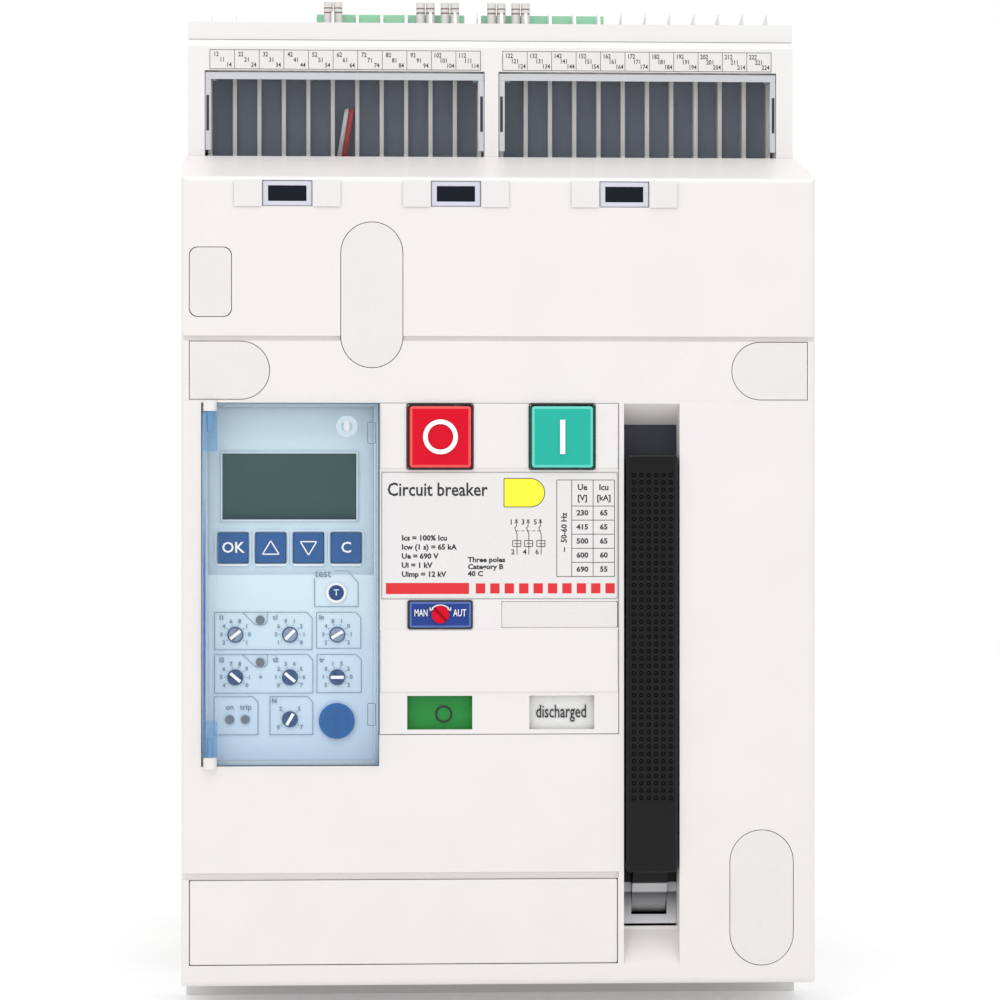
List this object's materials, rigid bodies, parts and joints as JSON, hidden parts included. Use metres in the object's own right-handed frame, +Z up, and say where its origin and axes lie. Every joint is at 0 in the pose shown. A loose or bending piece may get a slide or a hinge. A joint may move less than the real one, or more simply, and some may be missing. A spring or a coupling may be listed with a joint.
{
  "type": "air circuit breaker",
  "caption": "Fixed air circuit breaker with push buttons, charging handle in a deep well, protection unit under a clear hinged lid, top terminal housing and rear copper terminals.",
  "frame": {"origin": "middle of the underside of the whole breaker", "axes": "+Z up, +X to the right seen from the front, front cover faces -Y"},
  "size_m": [0.2726, 0.354, 0.4275],
  "materials": {
    "cover_plastic": "fine-grained off-white moulding",
    "blank_plastic": "leather-grained off-white moulding",
    "window_frame_plastic": "satin grey-lilac moulding",
    "pane_glass": "clear polished",
    "plate_film": "printed film, satin",
    "red_plastic": "gloss red moulding",
    "green_plastic": "gloss green moulding",
    "blue_plastic": "satin blue moulding",
    "flag_plastic": "printed flag",
    "flag_white": "printed flag",
    "handle_plastic": "gloss black moulding",
    "zinc_steel": "zinc plated",
    "gear_steel": "machined, oiled",
    "spring_steel": "ground spring wire",
    "liner_plastic": "dark slate moulding",
    "unit_plastic": "light grey moulding",
    "display_glass": "dark grey-green display",
    "key_plastic": "blue keys",
    "dial_plastic": "blue-grey moulding",
    "led_lens": "grey lens",
    "lid_plastic": "clear light-blue moulding",
    "terminal_plastic": "off-white moulding",
    "smoked_plastic": "smoked clear moulding",
    "connector_green": "green connector body",
    "contact_block_plastic": "dark blue-grey moulding",
    "wire_insulation": "stranded leads in soft insulation",
    "painted_steel": "light grey paint",
    "coil_resin": "cast resin",
    "copper": "silver-plated copper, worn",
    "housing_resin": "glass-filled polyester",
    "chute_plastic": "arc-resistant moulding with steel plates"
  },
  "bodies": {
    "breaker": {"front_cover": "cover_plastic", "control_panel": "cover_plastic", "lower_flap": "cover_plastic", "blank_plugs": "blank_plastic", "accessory_window_frames": "window_frame_plastic", "window_panes": "pane_glass", "rating_plate": "plate_film", "button_springs": "spring_steel", "selector_block": "blue_plastic", "accessory_blank": "blank_plastic", "handle_liner": "liner_plastic", "protection_unit": "unit_plastic", "unit_display": "display_glass", "status_leds": "led_lens", "hinge_pins": "zinc_steel", "terminal_housing": "terminal_plastic", "connector_strips": "connector_green", "auxiliary_contacts": "contact_block_plastic", "signal_wires": "wire_insulation", "fasteners": "zinc_steel", "chassis": "painted_steel", "mounting_feet": "zinc_steel", "mechanism_frame": "zinc_steel", "closing_spring": "spring_steel", "release_coils": "coil_resin", "flexible_braids": "copper", "pole_housing": "housing_resin", "arc_chutes": "chute_plastic", "upper_terminals": "copper", "lower_terminals": "copper", "current_transformers": "coil_resin"},
    "off_button": {"off_button": "red_plastic"},
    "on_button": {"on_button": "green_plastic"},
    "selector": {"selector_knob": "red_plastic"},
    "contact_flag": {"position_flag": "flag_plastic"},
    "charge_flag": {"spring_flag": "flag_white"},
    "handle": {"charging_handle": "handle_plastic", "handle_shaft": "zinc_steel", "drive_gear": "gear_steel"},
    "cam": {"camshaft": "gear_steel"},
    "plunger": {"spring_plunger": "gear_steel"},
    "enter_key": {"key_enter": "key_plastic"},
    "up_key": {"key_up": "key_plastic"},
    "down_key": {"key_down": "key_plastic"},
    "cancel_key": {"key_cancel": "key_plastic"},
    "test_key": {"test_button": "key_plastic"},
    "cap": {"port_cap": "key_plastic"},
    "lid": {"unit_cover": "lid_plastic"},
    "left_flap": {"terminal_cover_left": "smoked_plastic"},
    "right_flap": {"terminal_cover_right": "smoked_plastic"},
    "main_shaft": {"pole_shaft": "gear_steel"},
    "links": {"coupling_links": "gear_steel"},
    "carriers": {"contact_carriers": "copper"},
    "dial_knob_1": {"dial_1": "dial_plastic"},
    "dial_knob_2": {"dial_2": "dial_plastic"},
    "dial_knob_3": {"dial_3": "dial_plastic"},
    "dial_knob_4": {"dial_4": "dial_plastic"},
    "dial_knob_5": {"dial_5": "dial_plastic"},
    "dial_knob_6": {"dial_6": "dial_plastic"},
    "dial_knob_7": {"dial_7": "dial_plastic"}
  },
  "joints": [
    {"name": "handle_swing", "type": "hinge", "parent": "breaker", "child": "handle", "pos_m": [0, -0.152, 0.048], "axis": [1, 0, 0], "range_deg": [0, 75], "stiffness_Nm_per_rad": 0.6, "springref_deg": -28.65},
    {"name": "cam_turn", "type": "hinge", "parent": "breaker", "child": "cam", "pos_m": [0, -0.10717, 0.05192], "axis": [-1, 0, 0], "range_deg": [0, 150]},
    {"name": "plunger_lift", "type": "slide", "parent": "breaker", "child": "plunger", "axis": [0, 0, 1], "range_m": [0, 0.018], "deforming": ["closing_spring"]},
    {"name": "charge_flag_slide", "type": "slide", "parent": "breaker", "child": "charge_flag", "axis": [0, 0, -1], "range_m": [0, 0.0165]},
    {"name": "main_shaft_turn", "type": "hinge", "parent": "breaker", "child": "main_shaft", "pos_m": [0, -0.046, 0.15], "axis": [-1, 0, 0], "range_deg": [0, 24], "stiffness_Nm_per_rad": 12, "springref_deg": -34.38},
    {"name": "carrier_turn", "type": "hinge", "parent": "breaker", "child": "carriers", "pos_m": [0, 0.026, 0.12], "axis": [-1, 0, 0], "range_deg": [0, 24], "deforming": ["flexible_braids"]},
    {"name": "link_turn", "type": "hinge", "parent": "main_shaft", "child": "links", "pos_m": [0, -0.04195, 0.17162], "axis": [1, 0, 0], "range_deg": [0, 24]},
    {"name": "contact_flag_slide", "type": "slide", "parent": "breaker", "child": "contact_flag", "axis": [0, 0, -1], "range_m": [0, 0.0165]},
    {"name": "off_button_push", "type": "slide", "parent": "breaker", "child": "off_button", "axis": [0, 1, 0], "range_m": [0, 0.004], "stiffness_N_per_m": 900, "springref_m": -0.002, "deforming": ["button_springs"]},
    {"name": "on_button_push", "type": "slide", "parent": "breaker", "child": "on_button", "axis": [0, 1, 0], "range_m": [0, 0.004], "stiffness_N_per_m": 900, "springref_m": -0.002, "deforming": ["button_springs"]},
    {"name": "enter_key_press", "type": "slide", "parent": "breaker", "child": "enter_key", "axis": [0, 1, 0], "range_m": [0, 0.0008], "stiffness_N_per_m": 1200, "springref_m": -0.0006},
    {"name": "up_key_press", "type": "slide", "parent": "breaker", "child": "up_key", "axis": [0, 1, 0], "range_m": [0, 0.0008], "stiffness_N_per_m": 1200, "springref_m": -0.0006},
    {"name": "down_key_press", "type": "slide", "parent": "breaker", "child": "down_key", "axis": [0, 1, 0], "range_m": [0, 0.0008], "stiffness_N_per_m": 1200, "springref_m": -0.0006},
    {"name": "cancel_key_press", "type": "slide", "parent": "breaker", "child": "cancel_key", "axis": [0, 1, 0], "range_m": [0, 0.0008], "stiffness_N_per_m": 1200, "springref_m": -0.0006},
    {"name": "test_key_press", "type": "slide", "parent": "breaker", "child": "test_key", "axis": [0, 1, 0], "range_m": [0, 0.0008], "stiffness_N_per_m": 1200, "springref_m": -0.0006},
    {"name": "selector_turn", "type": "hinge", "parent": "breaker", "child": "selector", "pos_m": [-0.0246, -0.174, 0.1646], "axis": [0, 1, 0], "range_deg": [0, 90]},
    {"name": "dial_1_turn", "type": "hinge", "parent": "breaker", "child": "dial_knob_1", "pos_m": [-0.1093, -0.174, 0.1561], "axis": [0, 1, 0], "range_deg": [0, 270]},
    {"name": "dial_2_turn", "type": "hinge", "parent": "breaker", "child": "dial_knob_2", "pos_m": [-0.0867, -0.174, 0.1561], "axis": [0, 1, 0], "range_deg": [0, 270]},
    {"name": "dial_3_turn", "type": "hinge", "parent": "breaker", "child": "dial_knob_3", "pos_m": [-0.0671, -0.174, 0.1561], "axis": [0, 1, 0], "range_deg": [0, 270]},
    {"name": "dial_4_turn", "type": "hinge", "parent": "breaker", "child": "dial_knob_4", "pos_m": [-0.1093, -0.174, 0.1384], "axis": [0, 1, 0], "range_deg": [0, 270]},
    {"name": "dial_5_turn", "type": "hinge", "parent": "breaker", "child": "dial_knob_5", "pos_m": [-0.0867, -0.174, 0.1384], "axis": [0, 1, 0], "range_deg": [0, 270]},
    {"name": "dial_6_turn", "type": "hinge", "parent": "breaker", "child": "dial_knob_6", "pos_m": [-0.0671, -0.174, 0.1384], "axis": [0, 1, 0], "range_deg": [0, 270]},
    {"name": "dial_7_turn", "type": "hinge", "parent": "breaker", "child": "dial_knob_7", "pos_m": [-0.0867, -0.174, 0.121], "axis": [0, 1, 0], "range_deg": [0, 270]},
    {"name": "cap_turn", "type": "hinge", "parent": "breaker", "child": "cap", "pos_m": [-0.0673, -0.174, 0.1203], "axis": [0, 1, 0], "range_deg": [0, 90]},
    {"name": "lid_swing", "type": "hinge", "parent": "breaker", "child": "lid", "pos_m": [-0.1196, -0.174, 0.1772], "axis": [0, 0, -1], "range_deg": [0, 115]},
    {"name": "left_flap_swing", "type": "hinge", "parent": "breaker", "child": "left_flap", "pos_m": [-0.0631, -0.1068, 0.3932], "axis": [-1, 0, 0], "range_deg": [0, 95]},
    {"name": "right_flap_swing", "type": "hinge", "parent": "breaker", "child": "right_flap", "pos_m": [0.0631, -0.1068, 0.3932], "axis": [-1, 0, 0], "range_deg": [0, 95]}
  ],
  "couplings": [
    {"joint": "cam_turn", "follows": "handle_swing", "ratio": 2},
    {"joint": "plunger_lift", "follows": "handle_swing", "m_per_rad": 0.013751},
    {"joint": "charge_flag_slide", "follows": "handle_swing", "m_per_rad": 0.012605},
    {"joint": "carrier_turn", "follows": "main_shaft_turn", "ratio": 1},
    {"joint": "link_turn", "follows": "main_shaft_turn", "ratio": 1},
    {"joint": "contact_flag_slide", "follows": "main_shaft_turn", "m_per_rad": 0.039391}
  ]
}
